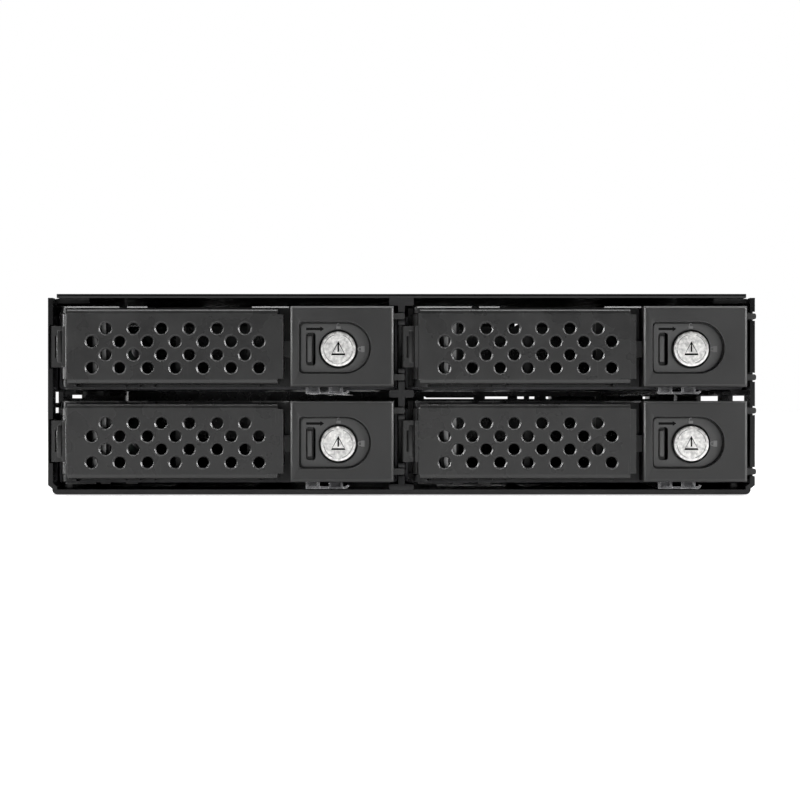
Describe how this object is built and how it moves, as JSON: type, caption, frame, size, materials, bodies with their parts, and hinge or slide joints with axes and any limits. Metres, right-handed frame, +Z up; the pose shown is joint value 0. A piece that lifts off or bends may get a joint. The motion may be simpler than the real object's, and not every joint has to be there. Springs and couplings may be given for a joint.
{
  "type": "hot swap drive cage",
  "caption": "Steel cage with pull-out drive trays side by side and stacked, each with a perforated swing lever, a sliding release and a key lock, with fans at the rear.",
  "frame": {"origin": "centre of the underside of the whole cage", "axes": "+X right, +Y from the levers to the fans, +Z up"},
  "size_m": [0.1463, 0.1676, 0.0414],
  "materials": {
    "cage_steel": "gloss black powder coat",
    "carrier_steel": "thin rolled steel sheet",
    "frame_plastic": "moulded black plastic",
    "housing_plastic": "fine matte moulded plastic",
    "lever_paint": "satin textured powder coat",
    "pin_steel": "bright steel",
    "lock_metal": "die cast and nickel plated",
    "clear_plastic": "clear acrylic",
    "board": "solder mask",
    "socket_plastic": "black moulded plastic",
    "lamps": "clear lamp body",
    "fan_plastic": "moulded black plastic",
    "black_screws": "black zinc plated steel"
  },
  "bodies": {
    "cage": {"chassis_pan": "cage_steel", "top_cover": "cage_steel", "case_screws": "black_screws", "centre_divider": "cage_steel", "backplane_board": "board", "board_screws": "black_screws", "drive_connectors": "socket_plastic", "status_leds": "lamps", "data_ports": "socket_plastic", "power_ports": "socket_plastic", "fan_brackets": "cage_steel", "fan_frames": "fan_plastic", "fan_screws": "black_screws"},
    "tray_1": {"tray_1_carrier": "carrier_steel", "tray_1_front_frame": "frame_plastic", "tray_1_lock_housing": "housing_plastic", "tray_1_light_pipe": "clear_plastic", "tray_1_hinge_pin": "pin_steel", "tray_1_slider_spring": "pin_steel"},
    "lever_1": {"tray_1_lever_plate": "lever_paint", "tray_1_lever_arm": "lever_paint"},
    "slider_1": {"tray_1_release_slider": "housing_plastic"},
    "lock_1": {"tray_1_lock_rotor": "lock_metal", "tray_1_lock_cam": "pin_steel"},
    "tray_2": {"tray_2_carrier": "carrier_steel", "tray_2_front_frame": "frame_plastic", "tray_2_lock_housing": "housing_plastic", "tray_2_light_pipe": "clear_plastic", "tray_2_hinge_pin": "pin_steel", "tray_2_slider_spring": "pin_steel"},
    "lever_2": {"tray_2_lever_plate": "lever_paint", "tray_2_lever_arm": "lever_paint"},
    "slider_2": {"tray_2_release_slider": "housing_plastic"},
    "lock_2": {"tray_2_lock_rotor": "lock_metal", "tray_2_lock_cam": "pin_steel"},
    "tray_3": {"tray_3_carrier": "carrier_steel", "tray_3_front_frame": "frame_plastic", "tray_3_lock_housing": "housing_plastic", "tray_3_light_pipe": "clear_plastic", "tray_3_hinge_pin": "pin_steel", "tray_3_slider_spring": "pin_steel"},
    "lever_3": {"tray_3_lever_plate": "lever_paint", "tray_3_lever_arm": "lever_paint"},
    "slider_3": {"tray_3_release_slider": "housing_plastic"},
    "lock_3": {"tray_3_lock_rotor": "lock_metal", "tray_3_lock_cam": "pin_steel"},
    "tray_4": {"tray_4_carrier": "carrier_steel", "tray_4_front_frame": "frame_plastic", "tray_4_lock_housing": "housing_plastic", "tray_4_light_pipe": "clear_plastic", "tray_4_hinge_pin": "pin_steel", "tray_4_slider_spring": "pin_steel"},
    "lever_4": {"tray_4_lever_plate": "lever_paint", "tray_4_lever_arm": "lever_paint"},
    "slider_4": {"tray_4_release_slider": "housing_plastic"},
    "lock_4": {"tray_4_lock_rotor": "lock_metal", "tray_4_lock_cam": "pin_steel"},
    "fan_left": {"fan_rotor_left": "fan_plastic"},
    "fan_right": {"fan_rotor_right": "fan_plastic"}
  },
  "joints": [
    {"name": "tray_slide_1", "type": "slide", "parent": "cage", "child": "tray_1", "axis": [0, -1, 0], "range_m": [0, 0.14]},
    {"name": "lever_hinge_1", "type": "hinge", "parent": "tray_1", "child": "lever_1", "pos_m": [-0.06855, -0.08005, 0.0305], "axis": [0, 0, -1], "range_deg": [0, 80]},
    {"name": "slider_slide_1", "type": "slide", "parent": "tray_1", "child": "slider_1", "axis": [1, 0, 0], "range_m": [0, 0.0007], "stiffness_N_per_m": 400, "springref_m": -0.0005, "deforming": ["tray_1_slider_spring"]},
    {"name": "lock_turn_1", "type": "hinge", "parent": "tray_1", "child": "lock_1", "pos_m": [-0.013, -0.08125, 0.03], "axis": [0, -1, 0], "range_deg": [-90, 0]},
    {"name": "tray_slide_2", "type": "slide", "parent": "cage", "child": "tray_2", "axis": [0, -1, 0], "range_m": [0, 0.14]},
    {"name": "lever_hinge_2", "type": "hinge", "parent": "tray_2", "child": "lever_2", "pos_m": [0.0041, -0.08005, 0.0305], "axis": [0, 0, -1], "range_deg": [0, 80]},
    {"name": "slider_slide_2", "type": "slide", "parent": "tray_2", "child": "slider_2", "axis": [1, 0, 0], "range_m": [0, 0.0007], "stiffness_N_per_m": 400, "springref_m": -0.0005, "deforming": ["tray_2_slider_spring"]},
    {"name": "lock_turn_2", "type": "hinge", "parent": "tray_2", "child": "lock_2", "pos_m": [0.05965, -0.08125, 0.03], "axis": [0, -1, 0], "range_deg": [-90, 0]},
    {"name": "tray_slide_3", "type": "slide", "parent": "cage", "child": "tray_3", "axis": [0, -1, 0], "range_m": [0, 0.14]},
    {"name": "lever_hinge_3", "type": "hinge", "parent": "tray_3", "child": "lever_3", "pos_m": [-0.06855, -0.08005, 0.011], "axis": [0, 0, -1], "range_deg": [0, 80]},
    {"name": "slider_slide_3", "type": "slide", "parent": "tray_3", "child": "slider_3", "axis": [1, 0, 0], "range_m": [0, 0.0007], "stiffness_N_per_m": 400, "springref_m": -0.0005, "deforming": ["tray_3_slider_spring"]},
    {"name": "lock_turn_3", "type": "hinge", "parent": "tray_3", "child": "lock_3", "pos_m": [-0.013, -0.08125, 0.0105], "axis": [0, -1, 0], "range_deg": [-90, 0]},
    {"name": "tray_slide_4", "type": "slide", "parent": "cage", "child": "tray_4", "axis": [0, -1, 0], "range_m": [0, 0.14]},
    {"name": "lever_hinge_4", "type": "hinge", "parent": "tray_4", "child": "lever_4", "pos_m": [0.0041, -0.08005, 0.011], "axis": [0, 0, -1], "range_deg": [0, 80]},
    {"name": "slider_slide_4", "type": "slide", "parent": "tray_4", "child": "slider_4", "axis": [1, 0, 0], "range_m": [0, 0.0007], "stiffness_N_per_m": 400, "springref_m": -0.0005, "deforming": ["tray_4_slider_spring"]},
    {"name": "lock_turn_4", "type": "hinge", "parent": "tray_4", "child": "lock_4", "pos_m": [0.05965, -0.08125, 0.0105], "axis": [0, -1, 0], "range_deg": [-90, 0]},
    {"name": "fan_spin_left", "type": "hinge", "parent": "cage", "child": "fan_left", "pos_m": [-0.0505, 0.07875, 0.0207], "axis": [0, 1, 0], "continuous": true},
    {"name": "fan_spin_right", "type": "hinge", "parent": "cage", "child": "fan_right", "pos_m": [0.0505, 0.07875, 0.0207], "axis": [0, 1, 0], "continuous": true}
  ]
}
